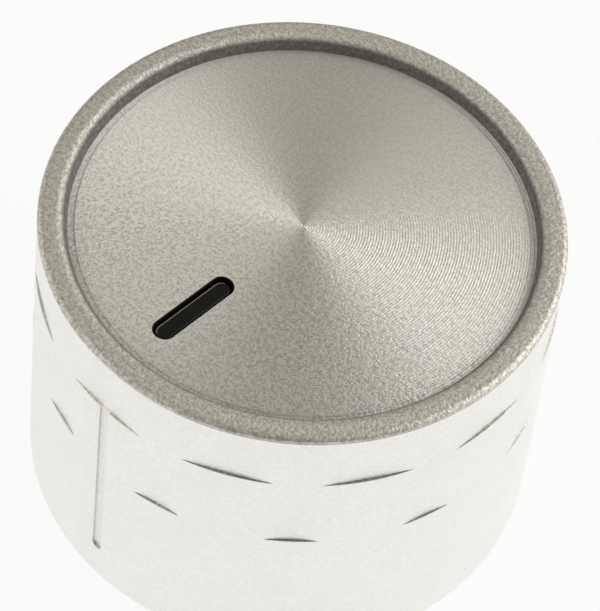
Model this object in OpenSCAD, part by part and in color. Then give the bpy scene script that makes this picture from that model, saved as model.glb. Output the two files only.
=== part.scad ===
// Stove knob: a round cap with a sunk dial face, a pointer slot and two rows
// of thumbnail grips, over a black hub that carries the spindle bore.
// Millimetres, +Z up along the spindle. The origin is the middle of the foot,
// and the pointer looks along -Y.

/* [Cap] */
// Diameter across the top edge
knob_d = 40; // [36:0.5:46]
// Height from the foot to the top of the rim
knob_h = 28.6; // [27:0.2:34]
// How much the radius grows from the top edge down to the foot
skirt_flare = 0.8; // [0.2:0.1:1.4]
// Thickness of the skirt
wall_t = 2; // [1.6:0.1:2.4]
// Thickness of the plate under the dial face
plate_t = 2; // [1.6:0.1:2.6]
// Bevel on the outer edge of the foot
foot_bevel = 0.3; // [0.1:0.05:0.6]

/* [Rim and dial face] */
// Width of the raised rim, from the top edge to the wall of the recess
rim_w = 2.25; // [1.9:0.05:3]
// Round on the inner edge of the rim
rim_in_round = 1; // [0.4:0.05:1]
// Round on the outer edge of the rim
rim_out_round = 0.5; // [0.3:0.05:0.7]
// Depth of the dial face below the top of the rim
face_drop = 1.03; // [0.8:0.01:1.4]
// Width of the sunk ring around the dial face
ring_w = 0.5; // [0.3:0.05:0.9]
// Depth of the sunk ring below the dial face
ring_drop = 0.1; // [0.05:0.01:0.2]

/* [Pointer] */
// Length of the slot in the dial face
slot_len = 7.5; // [5:0.1:9]
// Width of the slot
slot_w = 1.74; // [1.4:0.02:2.4]
// Distance of the slot's middle from the axis
slot_at = 11.42; // [10:0.02:12]
// Gap all round between the pointer bar and its slot
slot_gap = 0.12; // [0.06:0.01:0.2]
// How far the pointer bar stays below the dial face
bar_sink = 0.3; // [0.1:0.05:0.8]
// Round along the top edges of the pointer bar
bar_round = 0.3; // [0.15:0.05:0.35]

/* [Thumbnail grips] */
// Grips in each row
grip_n = 12; // [6:1:14]
// Depth of the upper ledges below the top of the rim
upper_drop = 5.75; // [5.5:0.05:7]
// How deep the upper ledges bite into the skirt
upper_bite = 0.2; // [0.12:0.02:0.3]
// Radius of the face of an upper grip, flatter than the skirt
grip_r = 55; // [40:1:80]
// Height over which an upper grip runs out
upper_run = 4.7; // [3:0.1:4.8]
// Distance from the upper ledges down to the lower ledges
row_gap = 7.45; // [6:0.05:9]
// How deep the lower ledges bite into the skirt
lower_bite = 0.18; // [0.12:0.02:0.3]
// Height over which a lower grip runs out
lower_run = 4.2; // [3:0.1:6]
// Radius of the cutter that scoops a lower grip
scoop_r = 28; // [16:1:40]

/* [Index groove] */
// Width of the groove down the skirt
groove_w = 0.95; // [0.6:0.05:1.4]
// Depth of the groove
groove_bite = 0.16; // [0.1:0.02:0.4]
// Height of the groove's round lower end above the foot
groove_foot = 3.9; // [2:0.1:8]

/* [Hub] */
// Height of the hub's mouth above the foot
mouth_z = 5; // [4.6:0.1:7]
// Outer diameter of the boss
boss_d = 11.2; // [10.6:0.1:13]
// Thickness of the hub's flange
flange_t = 1.6; // [1.2:0.1:2.2]
// Gap between the flange and the skirt
flange_gap = 0.25; // [0.15:0.05:0.4]
// Webs between the boss and the flange
web_n = 6; // [6:2:6]
// Thickness of a web
web_t = 1.2; // [1:0.1:1.6]
// Height of a web along the boss
web_h = 11; // [6:0.5:12]
// Distance of a web's outer end from the axis
web_reach = 15; // [12:0.5:15.5]
// Height of a web at its outer end
web_lip = 1.5; // [1:0.1:2.5]

/* [Spindle bore] */
// Diameter of the D bore
bore_d = 6.2; // [6.1:0.05:6.3]
// Distance from the flat to the far side of the D bore
bore_across = 4.8; // [4.6:0.05:5]
// Diameter of the round lead-in
lead_d = 6.8; // [6.7:0.05:7]
// Length of the round lead-in
lead_len = 4; // [3:0.5:6]
// Bevel at the mouth
mouth_bevel = 0.5; // [0.2:0.1:0.8]
// Depth of the whole bore from the mouth
bore_len = 17; // [14:0.5:17]

/* [Spring clip] */
// Thickness of the clip's strip
clip_t = 0.7; // [0.5:0.05:0.9]
// Width of the clip's strip
clip_w = 4.6; // [3:0.1:5]
// Depth of the seat that the clip lies in
clip_seat = 0.5; // [0.3:0.05:0.7]
// Height of the seat's lower edge above the mouth
clip_up = 1.4; // [1:0.1:2]
// Gap between the clip and its seat
clip_gap = 0.05; // [0.02:0.01:0.1]
// Opening of the clip, in degrees
clip_open = 44; // [30:2:70]
// Radius of the curled ends
curl_r = 0.9; // [0.7:0.05:1.2]
// Width of the two slits that let the boss spring
slit_w = 1; // [0.6:0.1:1.4]
// Length of the slits from the mouth
slit_len = 9; // [7:0.5:9.5]

/* [Catches and keys] */
// Catches that hold the flange
catch_n = 4; // [4:1:4]
// How far a catch reaches under the flange
catch_bite = 0.5; // [0.3:0.05:0.8]
// Height of a catch
catch_h = 1.8; // [1.2:0.1:2.6]
// Angle that a catch covers
catch_deg = 16; // [8:1:24]
// Width of the two keys that turn the hub with the cap
key_w = 2; // [1.4:0.1:3]
// How far a key stands in from the skirt
key_in = 1.8; // [1.2:0.1:2.4]
// Length of a key below the plate
key_len = 8; // [3:0.5:12]
// Gap between the moulded parts where they lock
lock_gap = 0.12; // [0.08:0.01:0.2]

/* [Hidden] */
$fn = 96;
eps = 0.01;
top_r = knob_d / 2;
foot_r = top_r + skirt_flare;
draft = atan(skirt_flare / knob_h);
// Radius of the skirt's outside and inside at a height
function skirt_r(z) = top_r + skirt_flare * (knob_h - z) / knob_h;
function inner_r(z) = skirt_r(z) - wall_t;

face_z = knob_h - face_drop;
ring_z = face_z - ring_drop;
roof_z = face_z - plate_t;
recess_r = top_r - rim_w;
face_r = recess_r - ring_w;
skirt_top_z = knob_h - rim_out_round * (1 - sin(draft));
crown_x = skirt_r(skirt_top_z) - rim_out_round * cos(draft);

upper_z = knob_h - upper_drop;
lower_z = upper_z - row_gap;
pitch = 360 / grip_n;

flange_z = roof_z - flange_t;
flange_r = inner_r(roof_z) - flange_gap;
boss_r = boss_d / 2;
seat_r = boss_r - clip_seat;
seat_z = mouth_z + clip_up;
lead_z = mouth_z + mouth_bevel;
flat_y = bore_across - bore_d / 2;
bar_top = face_z - bar_sink;
key_r = inner_r(roof_z) - key_in;
catch_z = flange_z - lock_gap;

// ---- cap ----

// The corner that a round takes off, with the round's centre at the origin
module off_corner(r, reach, low) {
    difference() {
        translate([0, low]) square([reach, r - low + 1]);
        circle(r = r, $fn = 64);
    }
}

// Half of the cap's section, from the axis out to the skirt
module cap_section() {
    difference() {
        polygon([
            [0, face_z], [face_r, face_z], [face_r, ring_z], [recess_r, ring_z],
            [recess_r, knob_h], [top_r, knob_h],
            [skirt_r(foot_bevel), foot_bevel], [foot_r - foot_bevel, 0],
            [inner_r(0), 0], [inner_r(roof_z), roof_z], [0, roof_z]
        ]);
        // outer round, which runs into the lean of the skirt
        translate([crown_x, knob_h - rim_out_round])
            off_corner(rim_out_round, rim_out_round + 1, rim_out_round * sin(draft));
        // inner round
        translate([recess_r + rim_in_round, knob_h - rim_in_round])
            mirror([1, 0]) off_corner(rim_in_round, rim_in_round + 1, 0);
    }
}

// Angle at which a grip leans out of the skirt, from its ledge to where it runs out
function grip_lean(z, bite, run) = atan((bite + skirt_r(z + run) - skirt_r(z)) / run);

// An upper grip: a face flatter than the skirt that leans in as it comes down
// to a level ledge
module broad_grip(z, bite, run) {
    difference() {
        translate([skirt_r(z) - 1, -top_r / 4, z]) cube([3, top_r / 2, run]);
        translate([skirt_r(z) - bite, 0, z])
            rotate([0, grip_lean(z, bite, run), 0])
                translate([-grip_r, 0, -run])
                    cylinder(r = grip_r, h = 3 * run, $fn = 360);
    }
}

// A lower grip: a leaning cylinder cut off level at the ledge
module scoop_grip(z, bite, run) {
    intersection() {
        translate([skirt_r(z) - bite, 0, z])
            rotate([0, grip_lean(z, bite, run), 0])
                translate([scoop_r, 0, -run])
                    cylinder(r = scoop_r, h = 3 * run, $fn = 180);
        translate([skirt_r(z) - 1, -top_r / 4, z]) cube([3, top_r / 2, run + 1]);
    }
}

// The groove follows the lean of the skirt and stops at the upper ledge
module index_groove() {
    intersection() {
        translate([0, -skirt_r(groove_foot), groove_foot]) rotate([-draft, 0, 0]) {
            translate([-groove_w / 2, -1, groove_w / 2])
                cube([groove_w, groove_bite + 1, knob_h]);
            translate([0, groove_bite, groove_w / 2]) rotate([90, 0, 0])
                cylinder(d = groove_w, h = groove_bite + 1, $fn = 48);
        }
        translate([-groove_w, -foot_r - 2, 0]) cube([2 * groove_w, foot_r, upper_z]);
    }
}

// Outline with round ends, along Y
module pill(len, w, h) {
    translate([-w / 2, -(len - w) / 2, 0]) cube([w, len - w, h]);
    for (s = [-1, 1]) translate([0, s * (len - w) / 2, 0])
        cylinder(d = w, h = h, $fn = 48);
}

// Catch that snaps under the flange, with a slope for assembly
module catch_lug() {
    rotate([0, 0, -catch_deg / 2]) rotate_extrude(angle = catch_deg)
        polygon([
            [flange_r - catch_bite, catch_z],
            [inner_r(catch_z) + 0.4, catch_z],
            [inner_r(catch_z) + 0.4, catch_z - catch_h],
            [inner_r(catch_z - catch_h), catch_z - catch_h],
            [flange_r - catch_bite, catch_z - catch_h * 0.35]
        ]);
}

module cap() {
    color([0.66, 0.65, 0.61]) {
        difference() {
            rotate_extrude() cap_section();
            // pointer slot
            translate([0, -slot_at, roof_z - 1]) pill(slot_len, slot_w, plate_t + 2);
            for (i = [0 : grip_n - 1]) {
                rotate([0, 0, -90 + i * pitch])
                    broad_grip(upper_z, upper_bite, upper_run);
                rotate([0, 0, -90 + (i + 0.5) * pitch])
                    scoop_grip(lower_z, lower_bite, lower_run);
            }
            index_groove();
        }
        // catches under the flange
        for (i = [0 : catch_n - 1])
            rotate([0, 0, (i + 0.5) * 360 / catch_n]) catch_lug();
        // keys on the inside of the skirt
        for (a = [0, 180]) rotate([0, 0, a])
            translate([key_r, -key_w / 2, roof_z - key_len])
                cube([key_in + 0.6, key_w, key_len + 0.4]);
    }
}

// ---- hub ----

// Pointer bar: round ends and rounded top edges, along Y
module bar_profile(w, h) {
    square([w / 2 - bar_round, h]);
    square([w / 2, h - bar_round]);
    translate([w / 2 - bar_round, h - bar_round]) circle(r = bar_round, $fn = 32);
}
module pointer_bar() {
    w = slot_w - 2 * slot_gap;
    len = slot_len - 2 * slot_gap;
    h = bar_top - roof_z + flange_t / 2;
    translate([0, -slot_at, roof_z - flange_t / 2]) {
        for (s = [-1, 1]) translate([0, s * (len - w) / 2, 0])
            rotate_extrude($fn = 48) bar_profile(w, h);
        rotate([90, 0, 0]) linear_extrude(height = len - w, center = true) {
            bar_profile(w, h);
            mirror([1, 0]) bar_profile(w, h);
        }
    }
}

// Web that tapers from the boss out under the flange
module web() {
    rotate([90, 0, 0]) linear_extrude(height = web_t, center = true)
        polygon([
            [boss_r - 1, flange_z + flange_t / 2], [web_reach, flange_z + flange_t / 2],
            [web_reach, flange_z - web_lip], [boss_r + 0.6, flange_z - web_h],
            [boss_r - 1, flange_z - web_h]
        ]);
}

// Round lead-in, then the D bore, closed at its upper end
module spindle_bore() {
    translate([0, 0, mouth_z - 1])
        cylinder(d = lead_d + 2 * mouth_bevel, h = 1, $fn = 64);
    translate([0, 0, mouth_z])
        cylinder(d1 = lead_d + 2 * mouth_bevel, d2 = lead_d, h = mouth_bevel, $fn = 64);
    translate([0, 0, lead_z - eps]) cylinder(d = lead_d, h = lead_len + eps, $fn = 64);
    difference() {
        translate([0, 0, lead_z]) cylinder(d = bore_d, h = bore_len - mouth_bevel, $fn = 64);
        translate([-bore_d, flat_y, lead_z + lead_len])
            cube([2 * bore_d, bore_d, bore_len]);
    }
}

module hub() {
    color([0.06, 0.06, 0.06]) difference() {
        union() {
            // flange
            difference() {
                translate([0, 0, flange_z]) cylinder(r = flange_r, h = flange_t);
                for (a = [0, 180]) rotate([0, 0, a])
                    translate([key_r - lock_gap, -key_w / 2 - lock_gap, flange_z - flange_t])
                        cube([2 * key_in, key_w + 2 * lock_gap, 3 * flange_t]);
            }
            pointer_bar();
            // boss
            translate([0, 0, mouth_z])
                cylinder(r = boss_r, h = flange_z - mouth_z + flange_t / 2, $fn = 72);
            translate([0, 0, flange_z - flange_t])
                cylinder(r1 = boss_r, r2 = boss_r + flange_t, h = flange_t + eps, $fn = 72);
            for (i = [0 : web_n - 1]) rotate([0, 0, (i + 0.5) * 360 / web_n]) web();
        }
        spindle_bore();
        // seat of the spring clip
        translate([0, 0, seat_z]) difference() {
            cylinder(r = boss_r + clip_t, h = clip_w + 2 * clip_gap, $fn = 72);
            translate([0, 0, -clip_w]) cylinder(r = seat_r, h = 3 * clip_w, $fn = 72);
        }
        // slits
        translate([-boss_r - slit_w, -slit_w / 2, mouth_z - slit_w])
            cube([boss_d + 2 * slit_w, slit_w, slit_len + slit_w]);
    }
}

// ---- spring clip ----

// Open steel band around the boss, with its two ends curled outwards
module spring_clip() {
    in_r = seat_r + clip_gap;
    mid_r = in_r + clip_t / 2;
    color([0.72, 0.73, 0.75])
    translate([0, 0, seat_z + clip_gap]) {
        rotate([0, 0, clip_open / 2]) rotate_extrude(angle = 360 - clip_open, $fn = 72)
            translate([in_r, 0]) square([clip_t, clip_w]);
        for (m = [0, 1]) mirror([0, m, 0]) rotate([0, 0, clip_open / 2])
            translate([mid_r + curl_r, 0, 0]) rotate([0, 0, 180])
                rotate_extrude(angle = 100, $fn = 48)
                    translate([curl_r - clip_t / 2, 0]) square([clip_t, clip_w]);
    }
}

cap();
hub();
spring_clip();
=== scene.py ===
import math

import bpy
from mathutils import Matrix, Vector


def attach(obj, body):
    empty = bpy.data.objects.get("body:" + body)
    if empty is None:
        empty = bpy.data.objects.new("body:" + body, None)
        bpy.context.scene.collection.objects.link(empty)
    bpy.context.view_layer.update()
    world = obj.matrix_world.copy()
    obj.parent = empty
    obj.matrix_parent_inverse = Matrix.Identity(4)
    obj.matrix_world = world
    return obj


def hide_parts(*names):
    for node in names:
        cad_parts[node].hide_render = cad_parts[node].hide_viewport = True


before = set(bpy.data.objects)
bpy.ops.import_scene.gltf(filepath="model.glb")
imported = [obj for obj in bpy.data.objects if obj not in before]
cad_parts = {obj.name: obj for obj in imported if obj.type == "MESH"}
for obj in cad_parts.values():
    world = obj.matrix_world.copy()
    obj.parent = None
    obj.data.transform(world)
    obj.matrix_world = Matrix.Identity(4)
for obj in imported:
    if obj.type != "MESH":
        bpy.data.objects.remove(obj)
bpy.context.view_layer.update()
print("frame loaded:", sorted(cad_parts))

mm = 0.001
fullTurn = 2 * math.pi
mergeGap = 0.001 * mm
nearBy = 0.1 * mm  # how close to its place an edge is looked for
facingUp = 0.9  # least upward part of a level face's normal


class Field:
    # one value on its way through a material, so that maths can be written out
    def __init__(self, finish, socket):
        self.finish = finish
        self.socket = socket

    def maths(self, operation, *others, swap=False):
        parts = [self, *others]
        if swap:
            parts.reverse()
        node = self.finish.add("ShaderNodeMath", {"operation": operation}, dict(enumerate(parts)))
        return Field(self.finish, node.outputs[0])

    def __add__(self, other):
        return self.maths("ADD", other)

    def __sub__(self, other):
        return self.maths("SUBTRACT", other)

    def __rsub__(self, other):
        return self.maths("SUBTRACT", other, swap=True)

    def __mul__(self, other):
        return self.maths("MULTIPLY", other)

    def __truediv__(self, other):
        return self.maths("DIVIDE", other)

    def __pow__(self, other):
        return self.maths("POWER", other)

    __radd__ = __add__
    __rmul__ = __mul__

    def sine(self):
        return self.maths("SINE")

    def size(self):
        return self.maths("ABSOLUTE")

    def stronger(self, *others):
        # the strongest of several masks
        strongest = self
        for other in others:
            strongest = strongest.maths("MAXIMUM", other)
        return strongest

    def above(self, edge, soft):
        # 0 below the edge, 1 above it, with a soft step between
        node = self.finish.add("ShaderNodeMapRange", {"interpolation_type": "SMOOTHSTEP"},
                               {"Value": self, "From Min": edge - soft, "From Max": edge + soft})
        return Field(self.finish, node.outputs["Result"])

    def below(self, edge, soft):
        return 1 - self.above(edge, soft)

    def between(self, low, high):
        # 0 to 1 becomes low to high
        return self * (high - low) + low


class Finish:
    # a material and the few ways its nodes are made
    def __init__(self, name, tree=None, **constants):
        if tree:
            self.tree = tree
            self.tree.nodes.clear()
            return
        self.material = bpy.data.materials.new(name)
        self.material.use_nodes = True
        self.tree = self.material.node_tree
        self.tree.nodes.clear()
        self.shader = self.add("ShaderNodeBsdfPrincipled", {}, constants)
        self.output = self.add("ShaderNodeOutputMaterial", {}, {"Surface": self.shader.outputs[0]})
        self.place = self.add("ShaderNodeTexCoord", {}, {}).outputs["Object"]
        parts = self.add("ShaderNodeSeparateXYZ", {}, {"Vector": self.place})
        self.x, self.y, self.z = [Field(self, s) for s in parts.outputs]

    def add(self, kind, settings, sockets):
        # a node by its type, its settings, and the values or links of its sockets
        node = self.tree.nodes.new(kind)
        for key, value in settings.items():
            setattr(node, key, value)
        for key, value in sockets.items():
            name = key.replace("_", " ") if isinstance(key, str) else key
            if isinstance(value, Field):
                value = value.socket
            if isinstance(value, bpy.types.NodeSocket):
                self.tree.links.new(value, node.inputs[name])
            else:
                node.inputs[name].default_value = value
        return node

    def field(self, kind, settings, sockets, output=0):
        return Field(self, self.add(kind, settings, sockets).outputs[output])

    def radius(self):
        # distance from the spindle's axis
        return (self.x * self.x + self.y * self.y) ** 0.5

    def towards(self, side):
        # how far a point lies towards a side that is given by x and y
        return self.x * side[0] + self.y * side[1]

    def speckle(self, size, detail=2, rough=0.5):
        return self.field("ShaderNodeTexNoise", {}, {
            "Vector": self.place, "Scale": 1 / size, "Detail": detail, "Roughness": rough}, "Fac")

    def blend(self, amount, first, second):
        node = self.add("ShaderNodeMix", {"data_type": "RGBA"}, {0: amount, 6: first, 7: second})
        return node.outputs[2]

    def bump(self, height, distance, under=None):
        sockets = {"Height": height, "Distance": distance, "Strength": 1.0}
        if under is not None:
            sockets["Normal"] = under
        return self.add("ShaderNodeBump", {}, sockets).outputs[0]

    def give(self, name, value):
        value = value.socket if isinstance(value, Field) else value
        self.tree.links.new(value, self.shader.inputs[name])


def objectMode():
    if bpy.context.object and bpy.context.object.mode != "OBJECT":
        bpy.ops.object.mode_set(mode="OBJECT")


def deselectAll():
    objectMode()
    bpy.ops.object.select_all(action="DESELECT")


def takeUp(thing):
    # the one object that the next operators act on
    deselectAll()
    thing.select_set(True)
    bpy.context.view_layer.objects.active = thing


def editing(thing, part="VERT", action="SELECT"):
    # edit mode with all or nothing selected
    takeUp(thing)
    bpy.ops.object.mode_set(mode="EDIT")
    bpy.ops.mesh.select_mode(type=part)
    bpy.ops.mesh.select_all(action=action)


def pick(thing, test, part):
    # selects edges or faces by their place, and leaves edit mode on
    editing(thing, {"edges": "EDGE", "polygons": "FACE"}[part], "DESELECT")
    bpy.ops.object.mode_set(mode="OBJECT")
    mesh = thing.data
    for item in getattr(mesh, part):
        if part == "edges":
            item.select = test(*[mesh.vertices[i].co for i in item.vertices])
        else:
            item.select = test(item.center, item.normal)
    bpy.ops.object.mode_set(mode="EDIT")


def fixPlace(thing):
    takeUp(thing)
    bpy.ops.object.transform_apply(location=True, rotation=True, scale=True)


def turned(thing, matrix):
    # moves the mesh and leaves the object at the origin
    thing.matrix_world = matrix
    fixPlace(thing)
    return thing


def named(name):
    thing = bpy.context.object
    thing.name = name
    thing.data.name = name
    return thing


def box(name, middle, size):
    # a block, with its middle and its size in millimetres
    bpy.ops.mesh.primitive_cube_add(size=1, location=[v * mm for v in middle],
                                    scale=[v * mm for v in size])
    block = named(name)
    fixPlace(block)
    return block


def bevelEdges(thing, test, offset, segments):
    pick(thing, test, "edges")
    bpy.ops.mesh.bevel(offset=offset, segments=segments, affect="EDGES")
    bpy.ops.mesh.select_all(action="SELECT")
    bpy.ops.mesh.remove_doubles(threshold=mergeGap)
    objectMode()


def copiesRound(thing, angles):
    # turned copies about the spindle's axis, joined with the first
    copies = []
    for angle in angles:
        twin = thing.copy()
        twin.data = thing.data.copy()
        bpy.context.collection.objects.link(twin)
        copies.append(turned(twin, Matrix.Rotation(angle, 4, "Z")))
    bpy.data.objects.remove(thing)
    deselectAll()
    for twin in copies:
        twin.select_set(True)
    bpy.context.view_layer.objects.active = copies[0]
    bpy.ops.object.join()
    return bpy.context.object


def cutWith(thing, cutter, operation="DIFFERENCE"):
    takeUp(thing)
    modifier = thing.modifiers.new("cut", "BOOLEAN")
    modifier.operation = operation
    modifier.solver = "EXACT"
    modifier.object = cutter
    bpy.ops.object.modifier_apply(modifier=modifier.name)
    bpy.data.objects.remove(cutter)
    editing(thing)
    bpy.ops.mesh.remove_doubles(threshold=2 * mergeGap)
    bpy.ops.mesh.dissolve_degenerate(threshold=mergeGap)
    objectMode()


def arc(centre, radius, first, last, steps):
    # points of a round in the section, angles in degrees from +radius towards +z
    points = []
    for i in range(steps + 1):
        angle = math.radians(first + (last - first) * i / steps)
        points.append((centre[0] + radius * math.cos(angle), centre[1] + radius * math.sin(angle)))
    return points


def revolved(name, section, steps, angle=fullTurn):
    # a chain of vertices drawn along the section and spun about the axis
    bpy.ops.mesh.primitive_plane_add(size=mm, location=(0, 0, 0))
    thing = named(name)
    editing(thing)
    bpy.ops.mesh.merge(type="CENTER")
    bpy.ops.transform.translate(value=(section[0][0], 0, section[0][1]))
    for (r0, z0), (r1, z1) in zip(section, section[1:]):
        bpy.ops.mesh.extrude_vertices_move(TRANSFORM_OT_translate={"value": (r1 - r0, 0, z1 - z0)})
    bpy.ops.mesh.select_all(action="SELECT")
    bpy.ops.mesh.spin(steps=steps, angle=angle, center=(0, 0, 0), axis=(0, 0, 1))
    bpy.ops.mesh.select_all(action="SELECT")
    bpy.ops.mesh.remove_doubles(threshold=0.1 * mergeGap)
    bpy.ops.mesh.normals_make_consistent(inside=False)
    objectMode()
    return thing


capSizes = {  # in millimetres
    "topRadius": 20.0, "height": 28.6, "flare": 0.8, "wall": 2.0, "plate": 2.0,
    "footBevel": 0.3, "roofCorner": 0.4, "rimWidth": 2.25, "inRound": 1.0, "outRound": 0.5,
    "faceDrop": 1.03, "faceEdge": 0.04, "faceLoops": (0.9, 0.7, 0.4), "ringWidth": 0.5, "ringDrop": 0.1,
    "steps": 240, "sideSteps": 9, "roundSteps": 30, "smoothAngle": 3.2,
}
topRadius, height = capSizes["topRadius"], capSizes["height"]
faceZ = height - capSizes["faceDrop"]
ringZ = faceZ - capSizes["ringDrop"]
roofZ = faceZ - capSizes["plate"]
recessRadius = topRadius - capSizes["rimWidth"]
faceRadius = recessRadius - capSizes["ringWidth"]
draft = math.atan(capSizes["flare"] / height)
sideTop = height - capSizes["outRound"] * (1 - math.sin(draft))


def skirtRadius(z):
    return topRadius + capSizes["flare"] * (height - z) / height


def innerRadius(z):
    return skirtRadius(z) - capSizes["wall"]


def capSection():
    # from the axis under the roof, round the foot and the rim, to the middle of the face
    s = capSizes
    foot, corner, edge = s["footBevel"], s["roofCorner"], s["faceEdge"]
    outCentre = (skirtRadius(sideTop) - s["outRound"] * math.cos(draft), height - s["outRound"])
    inCentre = (recessRadius + s["inRound"], height - s["inRound"])
    points = [(0, roofZ), (innerRadius(roofZ) - corner, roofZ), (innerRadius(roofZ), roofZ - corner)]
    points += [(innerRadius(0), 0), (skirtRadius(0) - foot, 0), (skirtRadius(foot), foot)]
    for i in range(1, s["sideSteps"]):
        z = foot + (sideTop - foot) * i / s["sideSteps"]
        points.append((skirtRadius(z), z))
    points += arc(outCentre, s["outRound"], math.degrees(draft), 90, s["roundSteps"])
    points += arc(inCentre, s["inRound"], 90, 180, s["roundSteps"])
    points += [(recessRadius, ringZ), (faceRadius, ringZ)]
    points += [(faceRadius, faceZ - edge), (faceRadius - edge, faceZ)]
    points += [(faceRadius * share, faceZ) for share in s["faceLoops"]] + [(0, faceZ)]
    return [(r * mm, z * mm) for r, z in points]


deselectAll()
capBody = revolved("cap_body", capSection(), capSizes["steps"])
turned(capBody, Matrix.Rotation(math.pi / capSizes["steps"], 4, "Z"))  # half a step, off the cutters' seams
print("cap turned:", len(capBody.data.polygons), "faces")

gripSizes = {
    "count": 12, "upperDrop": 5.75, "upperBite": 0.2, "upperRun": 4.7, "upperRadius": 55.0,
    "rowGap": 7.45, "lowerBite": 0.18, "lowerRun": 4.2, "lowerRadius": 28.0,
    "blockWidth": 10.0, "blockIn": 1, "blockOut": 2, "lowerPast": 1, "cylinderSides": 1440, "cylinderRuns": 5,
}
upperZ = height - gripSizes["upperDrop"]
lowerZ = upperZ - gripSizes["rowGap"]


def leaningRound(radius, side, z, bite, run):
    # a tall cylinder whose near side leans from the ledge's root out to the skirt
    lean = math.atan((bite + skirtRadius(z + run) - skirtRadius(z)) / run)
    bpy.ops.mesh.primitive_cylinder_add(
        vertices=gripSizes["cylinderSides"], radius=radius * mm, depth=gripSizes["cylinderRuns"] * run * mm,
        location=(side * radius * mm, 0, run / 2 * mm))
    thing = named("leaning_round")
    fixPlace(thing)
    root = Matrix.Translation(((skirtRadius(z) - bite) * mm, 0, z * mm))
    return turned(thing, root @ Matrix.Rotation(lean, 4, "Y"))


def gripBlock(z, run):
    low, high = skirtRadius(z) - gripSizes["blockIn"], skirtRadius(z) + gripSizes["blockOut"]
    return box("grip", ((low + high) / 2, 0, z + run / 2), (high - low, gripSizes["blockWidth"], run))


def gripRow(block, shift):
    pitch = fullTurn / gripSizes["count"]
    return copiesRound(block, [(i + shift) * pitch - math.pi / 2 for i in range(gripSizes["count"])])


def broadGrips():
    # the upper row: a face a little flatter than the skirt
    s = gripSizes
    block = gripBlock(upperZ, s["upperRun"])
    cutWith(block, leaningRound(s["upperRadius"], -1, upperZ, s["upperBite"], s["upperRun"]))
    return gripRow(block, 0)


def scoopGrips():
    # the lower row: a shallow scoop
    s = gripSizes
    block = gripBlock(lowerZ, s["lowerRun"] + s["lowerPast"])
    cutWith(block, leaningRound(s["lowerRadius"], 1, lowerZ, s["lowerBite"], s["lowerRun"]), "INTERSECT")
    return gripRow(block, 0.5)


fullRound = 0.4999  # share of a width that rounds an end fully and leaves it closed
slotSizes = {
    "length": 7.5, "width": 1.74, "at": 11.42, "past": 1, "softEdge": 0.07, "endSegments": 24,
    "mouth": ((0.02, 0.035), (0.05, 0.035), (0.05, 0.02), (0.0, 1.0)),  # growth and rise of each step
}
grooveSizes = {"width": 0.95, "bite": 0.16, "foot": 3.9, "out": 1, "past": 4, "endSegments": 12}


def slotCutter():
    s = slotSizes
    low, high = roofZ - s["past"], faceZ - s["softEdge"]
    cutter = box("slot", (0, 0, (low + high) / 2), (s["width"], s["length"], high - low))
    bevelEdges(cutter, lambda a, b: abs(a.z - b.z) > abs(a.x - b.x) + abs(a.y - b.y),
               s["width"] * mm * fullRound, s["endSegments"])
    # the mouth of the slot opens a little where the paint rounds it
    for grow, rise in s["mouth"]:
        pick(cutter, lambda c, n: n.z > facingUp, "polygons")
        bpy.ops.mesh.extrude_region_move(TRANSFORM_OT_translate={"value": (0, 0, rise * mm)})
        bpy.ops.transform.resize(value=(1 + 2 * grow / s["width"], 1 + 2 * grow / s["length"], 1),
                                 center_override=(0, 0, 0))
        objectMode()
    return turned(cutter, Matrix.Translation((0, -s["at"] * mm, 0)))


def grooveCutter():
    # it follows the lean of the skirt and stops level at the upper ledges
    s = grooveSizes
    tall = upperZ - s["foot"] + s["past"]
    cutter = box("groove", (0, (s["bite"] - s["out"]) / 2, tall / 2),
                 (s["width"], s["bite"] + s["out"], tall))
    bevelEdges(cutter, lambda a, b: max(a.z, b.z) < nearBy and abs(a.y - b.y) > abs(a.x - b.x),
               s["width"] * mm * fullRound, s["endSegments"])
    foot = Matrix.Translation((0, -skirtRadius(s["foot"]) * mm, s["foot"] * mm))
    turned(cutter, foot @ Matrix.Rotation(-draft, 4, "X"))
    editing(cutter)
    bpy.ops.mesh.bisect(plane_co=(0, 0, upperZ * mm), plane_no=(0, 0, 1), use_fill=True, clear_outer=True)
    objectMode()
    return cutter


insideSizes = {
    "catches": 4, "catchReach": 17.33, "catchTop": 23.85, "catchTall": 1.8, "catchSlope": 0.35,
    "catchRoot": 0.4, "catchAngle": 16.0, "catchSteps": 8,
    "keyWidth": 2.0, "keyIn": 1.8, "keyLength": 8.0, "keyRoot": 0.6, "keyTop": 0.4,
    "keyBevel": 0.12, "keySegments": 3,
}


def catchLugs():
    # sloping catches that hold the hub's flange
    s = insideSizes
    top, low = s["catchTop"], s["catchTop"] - s["catchTall"]
    root, reach = innerRadius(top) + s["catchRoot"], s["catchReach"]
    section = [(reach, top), (root, top), (root, low), (innerRadius(low), low),
               (reach, top - s["catchTall"] * s["catchSlope"])]
    section = [(r * mm, z * mm) for r, z in section + section[:1]]
    lug = revolved("catches", section, s["catchSteps"], math.radians(s["catchAngle"]))
    editing(lug)
    bpy.ops.mesh.fill_holes(sides=0)
    bpy.ops.mesh.select_all(action="SELECT")
    bpy.ops.mesh.normals_make_consistent(inside=False)
    objectMode()
    ends = [math.atan2(v.co.y, v.co.x) for v in lug.data.vertices]
    middle = (min(ends) + max(ends)) / 2
    turn = fullTurn / s["catches"]
    return copiesRound(lug, [(i + 0.5) * turn - middle for i in range(s["catches"])])


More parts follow.
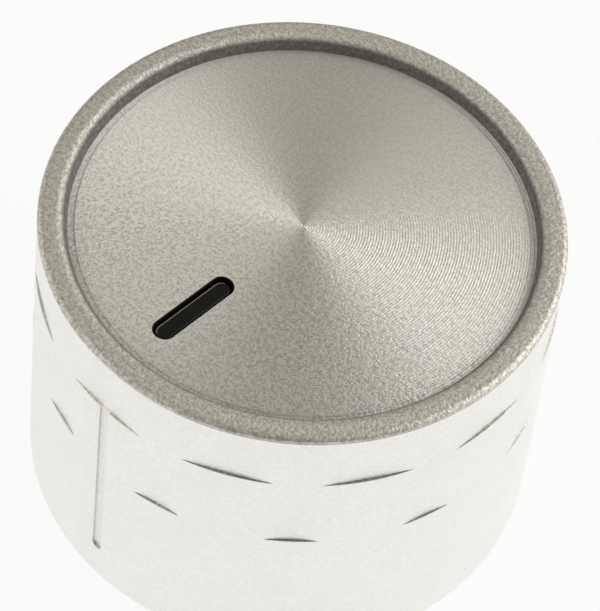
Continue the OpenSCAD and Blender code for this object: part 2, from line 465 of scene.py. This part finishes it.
def wallKeys():
    # two upright keys that stop the hub from turning in the cap
    s = insideSizes
    low, foot = innerRadius(roofZ) - s["keyIn"], roofZ - s["keyLength"]
    middle = (low + s["keyIn"] / 2 + s["keyRoot"] / 2, 0, roofZ - s["keyLength"] / 2 + s["keyTop"] / 2)
    key = box("keys", middle, (s["keyIn"] + s["keyRoot"], s["keyWidth"], s["keyLength"] + s["keyTop"]))
    bevelEdges(key, lambda a, b: max(a.x, b.x) < low * mm + nearBy or max(a.z, b.z) < foot * mm + nearBy,
               s["keyBevel"] * mm, s["keySegments"])
    return copiesRound(key, [0, math.pi])


cutWith(capBody, catchLugs(), "UNION")
cutWith(capBody, wallKeys(), "UNION")
print("catches and keys added:", len(capBody.data.polygons), "faces")
for cutter in (slotCutter, broadGrips, scoopGrips, grooveCutter):
    cutWith(capBody, cutter())
takeUp(capBody)
bpy.ops.object.shade_smooth_by_angle(angle=math.radians(capSizes["smoothAngle"]))
print("slot, grips and groove cut:", len(capBody.data.polygons), "faces")

flakeLook = {"size": 0.2 * mm, "coarser": 1.7, "rough": 0.6, "bright": (0.5, 0.15), "gloss": 0.08}


def flakes(finish):
    # metal flakes in the paint, as height and as a mask of the bright ones
    s = flakeLook
    coarse = finish.speckle(s["size"] * s["coarser"], 2, s["rough"])
    rise = coarse * 0.5 + finish.speckle(s["size"], 1) * 0.5
    return rise, rise.above(*s["bright"])


def inset(paint):
    # how deep a point lies under the plain lean of the skirt, in mm
    foot = topRadius + capSizes["flare"]
    return foot - paint.z / mm * (capSizes["flare"] / height) - paint.radius() / mm


# in all the looks, a pair is the edge of a mask and how soft it is, or the two values it runs between
ledgeLook = {
    "dirtAndShade": 0.78, "flecks": 0.35, "even": 0.6, "heavyShade": (0.8, 0.2),
    "patch": 11 * mm, "patches": (0.6, 0.15), "patchShade": 0.6,
    "foot": (-0.02, 0.01), "creep": (0.08, 0.08), "under": (0.03, 0.02),
    "besideGroove": (0.52, 0.05), "behind": (0.0, 0.001),
}


def ledgeMask(paint, z):
    # a ledge and the foot of the face above it
    s = ledgeLook
    up = paint.z / mm - z
    return up.above(*s["foot"]) * up.below(*s["creep"]) * inset(paint).above(*s["under"])


def ledgeShade(paint, shadeSpeckle, facing):
    # painted shade on the ledges, broken into flecks: thick on the side where the ledges look darkest and in
    # a few patches, thin elsewhere, none over the groove
    s = ledgeLook
    patches = paint.speckle(s["patch"], 1).above(*s["patches"]) * s["patchShade"]
    heavyShade = facing.above(*s["heavyShade"]).stronger(patches)
    flecks = shadeSpeckle * s["flecks"]
    clear = (paint.x.size() / mm).above(*s["besideGroove"]).stronger(paint.y.above(*s["behind"]))
    both = ledgeMask(paint, upperZ) + ledgeMask(paint, lowerZ)
    return both * ((1 - heavyShade) * flecks + heavyShade * (flecks + s["even"])) * s["dirtAndShade"] * clear


rimLook = {"dirtAndShade": 0.93, "flecked": (0.88, 1), "depth": (0.2, 0.18), "from": (-0.05, 0.06), "to": (1.2, 0.1)}


def rimShade(paint, shadeSpeckle, out):
    # painted shade low on the rim's inner wall and in the corner at its foot
    s = rimLook
    well = (height - paint.z / mm).above(*s["depth"]) * out.above(*s["from"]) * out.below(*s["to"])
    return well * shadeSpeckle.between(*s["flecked"]) * s["dirtAndShade"]


grooveLook = {
    "wallShade": 0.05, "half": (0.5, 0.03), "top": (upperZ - 0.05, 0.03), "under": (0.05, 0.03),
    "footShade": 0.22, "footUp": 0.3, "footReach": (0.35, 0.3), "front": (-0.015, 0.001),
}


def grooveShade(paint):
    # painted shade: a little all along the index groove, most of it at its foot
    s = grooveLook
    aside, up = paint.x.size() / mm, paint.z / mm
    foot = (aside ** 2 + (up - grooveSizes["foot"] - s["footUp"]) ** 2) ** 0.5
    wall = aside.below(*s["half"]) * up.below(*s["top"]) * inset(paint).above(*s["under"]) * s["wallShade"]
    return (foot.below(*s["footReach"]) * s["footShade"]).stronger(wall) * paint.y.below(*s["front"])


lipLook = {
    "dirtAndShade": 0.5, "flecked": (0.6, 1), "up": 0.03, "half": (0.06, 0.03), "out": (1, 0.1), "side": (0.66, 0.16),
}


def lipShade(paint, shadeSpeckle, facing, out):
    # a thin line of painted shade where the rim's outer round meets the side, on the side where the ledges
    # look darkest
    s = lipLook
    line = (paint.z / mm - sideTop - s["up"]).size().below(*s["half"]) * out.above(*s["out"])
    return line * facing.above(*s["side"]) * shadeSpeckle.between(*s["flecked"]) * s["dirtAndShade"]


speckLook = {"dirtAndShade": 0.45, "apart": 6.5 * mm, "size": (0.017, 0.006)}


def specks(paint):
    s = speckLook
    apart = paint.field("ShaderNodeTexVoronoi", {"feature": "F1"}, {
        "Vector": paint.place, "Scale": 1 / s["apart"], "Randomness": 1.0}, "Distance")
    return apart.below(*s["size"]) * s["dirtAndShade"]


paintLook = {
    "light": (0.96, 0.955, 0.915, 1), "dark": (0.57, 0.54, 0.46, 1), "roughness": 0.46, "metallic": 0.92,
    "flakeRise": 0.085 * mm, "top": (height - 0.38, 0.15), "topRougher": 0.14, "grain": (0.13, 0.95),
    "brownShade": (0.17, 0.125, 0.06, 1), "topBrownShade": 0.11, "edge": (1.75, 0.2), "edgeBrownShade": 0.11,
    "cloud": 5 * mm, "worn": (0.97, 1.03), "shadedSide": (0.862, -0.508),
    "dirtAndShade": (0.05, 0.046, 0.037, 1), "dirtAndShadeRougher": 0.2,
    "shadeSpeckleSize": 0.3 * mm, "shadeSpeckleRough": 0.75, "shadeSpeckle": (0.47, 0.13),
}


def silverPaint():
    s = paintLook
    paint = Finish("silver_paint")
    rise, bright = flakes(paint)
    shadeSpeckle = paint.speckle(s["shadeSpeckleSize"], 3, s["shadeSpeckleRough"]).above(*s["shadeSpeckle"])
    facing = paint.towards(s["shadedSide"]) / paint.radius()
    out = paint.radius() / mm - recessRadius
    # dark specks of dirt, and painted shade on the ledges, low in the rim's well, in the groove and along the
    # rim's outer lip, all darken the paint to one dark colour
    dirtAndShade = ledgeShade(paint, shadeSpeckle, facing).stronger(
        rimShade(paint, shadeSpeckle, out), grooveShade(paint), specks(paint), lipShade(paint, shadeSpeckle, facing, out))
    # the rim's top is painted darker, browner and more speckled than the side: painted shade and painted
    # glints for how the top faces the dim room, with more painted shade on the outer round to tone down its
    # highlight
    top = (paint.z / mm).above(*s["top"])
    grain = (1 - bright) * top.between(*s["grain"])
    brownShade = top * s["topBrownShade"] + top * out.above(*s["edge"]) * s["edgeBrownShade"]
    plain = paint.blend(brownShade, paint.blend(grain, s["light"], s["dark"]), s["brownShade"])
    cloud = paint.speckle(s["cloud"]).between(*s["worn"])
    clean = paint.add("ShaderNodeVectorMath", {"operation": "SCALE"}, {"Vector": plain, "Scale": cloud})
    paint.give("Base Color", paint.blend(dirtAndShade, clean.outputs[0], s["dirtAndShade"]))
    paint.give("Metallic", (1 - dirtAndShade) * s["metallic"])
    rougher = dirtAndShade * s["dirtAndShadeRougher"] + top * s["topRougher"]
    paint.give("Roughness", bright * -flakeLook["gloss"] + rougher + s["roughness"])
    paint.give("Normal", paint.bump(rise, s["flakeRise"]))
    return paint.material


faceLook = {
    "dark": (0.45, 0.437, 0.398, 1), "light": (1.0, 0.985, 0.93, 1), "tint": 0.81, "lineTint": 0.17,
    "roughness": 0.57, "metallic": 0.85, "anisotropic": 0.75, "fanTurn": 0.25, "flakeRise": 0.06 * mm,
    "pitch": 0.216 * mm, "ridge": 0.024 * mm, "wander": 1.2 * mm, "wanderTurn": 1.6,
    "thinSide": (0.0, 6 * mm), "filled": (0.1, 1),
    "wear": 0.5 * mm, "wearRough": 0.6, "wornAt": (0.45, 0.25), "worn": (0.6, 1.1),
    "coarseSide": (0.25, -0.968), "coarseFrom": (0.0, 8 * mm), "coarseDarker": 0.02,
    "flakeTint": (0.32, 0.74), "flakeTall": (0.6, 1.15),
}


def spunFace():
    s = faceLook
    face = Finish("spun_face", Metallic=s["metallic"], Anisotropic=s["anisotropic"],
                  Anisotropic_Rotation=s["fanTurn"])
    rise, bright = flakes(face)
    wander = face.speckle(s["wander"], 1) * s["wanderTurn"]
    lines = (face.radius() * (fullTurn / s["pitch"]) + wander).sine() * 0.5 + 0.5
    # the paint lies thicker on one half and fills the turned lines there
    worn = face.speckle(s["wear"], 2, s["wearRough"]).above(*s["wornAt"]).between(*s["worn"])
    sharp = face.x.above(*s["thinSide"]).between(*s["filled"]) * worn
    # towards the pointer the flakes stand taller, the colour is a little darker, and the flake speckle in the
    # colour is stronger: painted glints
    coarse = face.towards(s["coarseSide"]).above(*s["coarseFrom"])
    flakeTint = (bright - 0.5) * coarse.between(*s["flakeTint"])
    # the turned lines are also painted into the colour as pale and dark stripes: painted highlight and
    # painted shade of the ridges
    lineTint = (lines - 0.5) * sharp * s["lineTint"]
    tint = flakeTint + lineTint - coarse * s["coarseDarker"] + s["tint"]
    face.give("Base Color", face.blend(tint, s["dark"], s["light"]))
    face.give("Roughness", bright * -flakeLook["gloss"] + s["roughness"])
    ridges = face.bump(lines * sharp, s["ridge"])
    face.give("Normal", face.bump(rise * coarse.between(*s["flakeTall"]), s["flakeRise"], under=ridges))
    return face.material


insideLook = {
    "plastic": (0.028, 0.028, 0.027, 1), "paler": (0.045, 0.045, 0.043, 1), "paint": (0.62, 0.61, 0.57, 1),
    "grain": 0.25 * mm, "flow": 6 * mm, "roughness": 0.24, "grainRougher": 0.12, "grainRise": 0.01 * mm,
    "spray": (5.0, 2.5), "sprayWander": 4.0, "drop": 0.2 * mm, "drops": (0.48, 0.18), "sprayMetal": 0.8,
}


def bareInside():
    # unpainted moulding, with a little overspray inside the foot
    s = insideLook
    bare = Finish("bare_inside")
    grain = bare.speckle(s["grain"])
    flow = bare.speckle(s["flow"])
    reach = bare.z / mm + flow * s["sprayWander"]
    spray = reach.below(*s["spray"]) * bare.speckle(s["drop"], 1).above(*s["drops"])
    plastic = bare.blend(flow, s["plastic"], s["paler"])
    bare.give("Base Color", bare.blend(spray, plastic, s["paint"]))
    bare.give("Metallic", spray * s["sprayMetal"])
    bare.give("Roughness", grain * s["grainRougher"] + s["roughness"])
    bare.give("Normal", bare.bump(grain, s["grainRise"]))
    return bare.material


hubLook = {
    "dark": (0.004, 0.0045, 0.0035, 1), "light": (0.011, 0.011, 0.010, 1), "gloss": 0.28,
    "grain": 0.3 * mm, "grainRough": 0.6, "flow": 4 * mm, "roughness": 0.09, "rougher": 0.1,
    "grainRise": 0.004 * mm, "highlightColour": (0.5, 0.43, 0.31, 1), "highlightAt": 0.6, "highlightHalf": (0.055, 0.03),
    "highlightTop": (faceZ - 0.5, 0.05), "highlightSide": (-0.3, 0.2),
}


def paintedHighlightLine(black):
    # a painted highlight: a pale line along one edge of the pointer bar, round both of its ends
    s = hubLook
    aside, up = black.x / mm, black.z / mm
    straight = (slotSizes["length"] - slotSizes["width"]) / 2
    past = ((black.y / mm + slotSizes["at"]).size() - straight).stronger(0.0)
    line = ((aside ** 2 + past ** 2) ** 0.5 - s["highlightAt"]).size().below(*s["highlightHalf"])
    return line * up.above(*s["highlightTop"]) * aside.below(*s["highlightSide"])


def blackPlastic(name):
    s = hubLook
    black = Finish(name, Specular_IOR_Level=s["gloss"])
    grain = black.speckle(s["grain"], 3, s["grainRough"])
    flow = black.speckle(s["flow"])
    colour = black.blend(flow, s["dark"], s["light"])
    # the pointer bar's edge gets a painted highlight line
    black.give("Base Color", black.blend(paintedHighlightLine(black), colour, s["highlightColour"]))
    black.give("Roughness", grain * s["rougher"] + flow * s["rougher"] + s["roughness"])
    black.give("Normal", black.bump(grain, s["grainRise"]))
    return black.material


steelLook = {
    "dark": (0.42, 0.42, 0.43, 1), "light": (0.66, 0.66, 0.68, 1), "streaks": (200, 200, 9000),
    "roughness": 0.22, "streakRougher": 0.2, "streakRise": 0.004 * mm,
}


def springSteel():
    # drawn strip, with streaks along it
    s = steelLook
    steel = Finish("spring_steel", Metallic=1.0)
    drawn = steel.add("ShaderNodeMapping", {}, {"Vector": steel.place, "Scale": s["streaks"]}).outputs[0]
    streaks = steel.field("ShaderNodeTexNoise", {}, {"Vector": drawn, "Scale": 1.0, "Detail": 3.0}, "Fac")
    steel.give("Base Color", steel.blend(streaks, s["dark"], s["light"]))
    steel.give("Roughness", streaks * s["streakRougher"] + s["roughness"])
    steel.give("Normal", steel.bump(streaks, s["streakRise"]))
    return steel.material


def dress(thing, *materials):
    thing.data.materials.clear()
    for material in materials:
        thing.data.materials.append(material)


dressSizes = {  # in millimetres, limits for the middle of a face
    "level": 0.03, "slotAside": 1.2, "slotPast": 0.3, "slotTop": 0.005, "roof": 0.05, "wall": 0.5,
}


def finishOf(polygon):
    # 0 paint, 1 dial and the ring round it, 2 inside of the cap, 3 walls of the slot
    s = dressSizes
    x, y, z = polygon.center / mm
    out = math.hypot(x, y)
    nearSlot = abs(x) < s["slotAside"] and abs(y + slotSizes["at"]) < slotSizes["length"] / 2 + s["slotPast"]
    inSlot = nearSlot and z < faceZ - s["slotTop"]
    onDial = z < faceZ + s["level"] and z > ringZ - s["level"] and out < recessRadius
    if onDial and polygon.normal.z > facingUp and not inSlot:
        return 1
    if inSlot and z > roofZ + s["roof"]:
        return 3
    if z < roofZ + s["roof"] and out < innerRadius(z) + s["wall"]:
        return 2
    return 0


dress(capBody, silverPaint(), spunFace(), bareInside(), blackPlastic("black_slot_wall"))
for polygon in capBody.data.polygons:
    polygon.material_index = finishOf(polygon)
dress(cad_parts["hub"], blackPlastic("black_plastic"))
dress(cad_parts["spring_clip"], springSteel())
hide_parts("cap")
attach(capBody, "root")
print("finishes given")

stageLook = {
    "floorSize": 3.0, "floorColour": (0.9, 0.9, 0.89, 1), "floorRoughness": 0.9,
    "floorGlow": 0.95, "seenGlow": 0.9, "glowReach": (0.12, 0.05), "farGlow": (0.2, 1),
}


def paleFloor():
    # it looks white to the eye and glows in reflections, and still takes the shadow
    s = stageLook
    bpy.ops.mesh.primitive_plane_add(size=s["floorSize"], location=(0, 0, 0))
    floor = named("floor")
    cloth = Finish("pale_floor", Base_Color=s["floorColour"], Roughness=s["floorRoughness"])
    rays = cloth.add("ShaderNodeLightPath", {}, {})
    near = cloth.radius().below(*s["glowReach"]).between(*s["farGlow"])
    seen = Field(cloth, rays.outputs["Is Camera Ray"]) * s["seenGlow"]
    mirrored = Field(cloth, rays.outputs["Is Glossy Ray"]) * near * s["floorGlow"]
    glow = cloth.add("ShaderNodeEmission", {}, {"Color": (1, 1, 1, 1), "Strength": 1.0})
    both = cloth.add("ShaderNodeMixShader", {}, {
        0: seen.stronger(mirrored), 1: cloth.shader.outputs[0], 2: glow.outputs[0]})
    cloth.tree.links.new(both.outputs[0], cloth.output.inputs["Surface"])
    dress(floor, cloth.material)


def wayTo(azimuth, elevation):
    # unit vector from the knob, angles in degrees
    a, e = math.radians(azimuth), math.radians(elevation)
    return Vector((math.cos(e) * math.cos(a), math.cos(e) * math.sin(a), math.sin(e)))


lampLook = {
    "right": {"azimuth": 50.0, "watts": 3.5}, "left": {"azimuth": 228.0, "watts": 1.7},
    "elevation": 31.0, "away": 0.6, "width": 0.9, "tall": 0.6, "aimHeight": 0.02,
}


def softbox(side):
    # an area lamp that looks at the knob
    s = lampLook
    bpy.ops.object.light_add(type="AREA")
    lamp = bpy.context.object
    lamp.name = side + "_softbox"
    lamp.data.shape = "RECTANGLE"
    lamp.data.size, lamp.data.size_y = s["width"], s["tall"]
    lamp.data.energy = s[side]["watts"]
    away = wayTo(s[side]["azimuth"], s["elevation"])
    lamp.location = away * s["away"] + Vector((0, 0, s["aimHeight"]))
    lamp.rotation_euler = away.to_track_quat("Z", "Y").to_euler()


cameraView = {
    "aim": (5.57, -6.01, 28.6), "azimuth": -50.5, "elevation": 53.61, "distance": 190.54,
    "roll": 7.08, "lens": 156.12, "sensor": 36.0, "clipStart": 0.01,
}


def camera():
    s = cameraView
    back = wayTo(s["azimuth"], s["elevation"])
    bpy.ops.object.camera_add(location=Vector(s["aim"]) * mm + back * s["distance"] * mm)
    eye = bpy.context.object
    turn = back.to_track_quat("Z", "Y").to_matrix() @ Matrix.Rotation(math.radians(s["roll"]), 3, "Z")
    eye.rotation_euler = turn.to_euler()
    eye.data.sensor_fit = "HORIZONTAL"
    eye.data.sensor_width = s["sensor"]
    eye.data.lens = s["lens"]
    eye.data.clip_start = s["clipStart"]
    bpy.context.scene.camera = eye


roomLook = {
    "dim": (0.11, 0.107, 0.098, 1), "bright": (0.305, 0.288, 0.248, 1),
    "brightSide": (-0.45, 0.546, 0.707), "grows": (0.4, 0.65),
}


def room():
    # walls that are dim in front and grow brighter up and behind
    s = roomLook
    world = bpy.data.worlds.new("room")
    world.use_nodes = True
    bpy.context.scene.world = world
    walls = Finish("room_walls", tree=world.node_tree)
    way = walls.add("ShaderNodeTexCoord", {}, {}).outputs["Generated"]
    towards = walls.field("ShaderNodeVectorMath", {"operation": "DOT_PRODUCT"},
                          {0: way, 1: s["brightSide"]}, "Value")
    amount = towards.above(*s["grows"])
    light = walls.add("ShaderNodeBackground", {}, {"Color": walls.blend(amount, s["dim"], s["bright"])})
    walls.add("ShaderNodeOutputWorld", {}, {"Surface": light.outputs[0]})


paleFloor()
softbox("right")
softbox("left")
camera()
room()
bpy.context.scene.view_settings.view_transform = "Standard"
print("stage set")
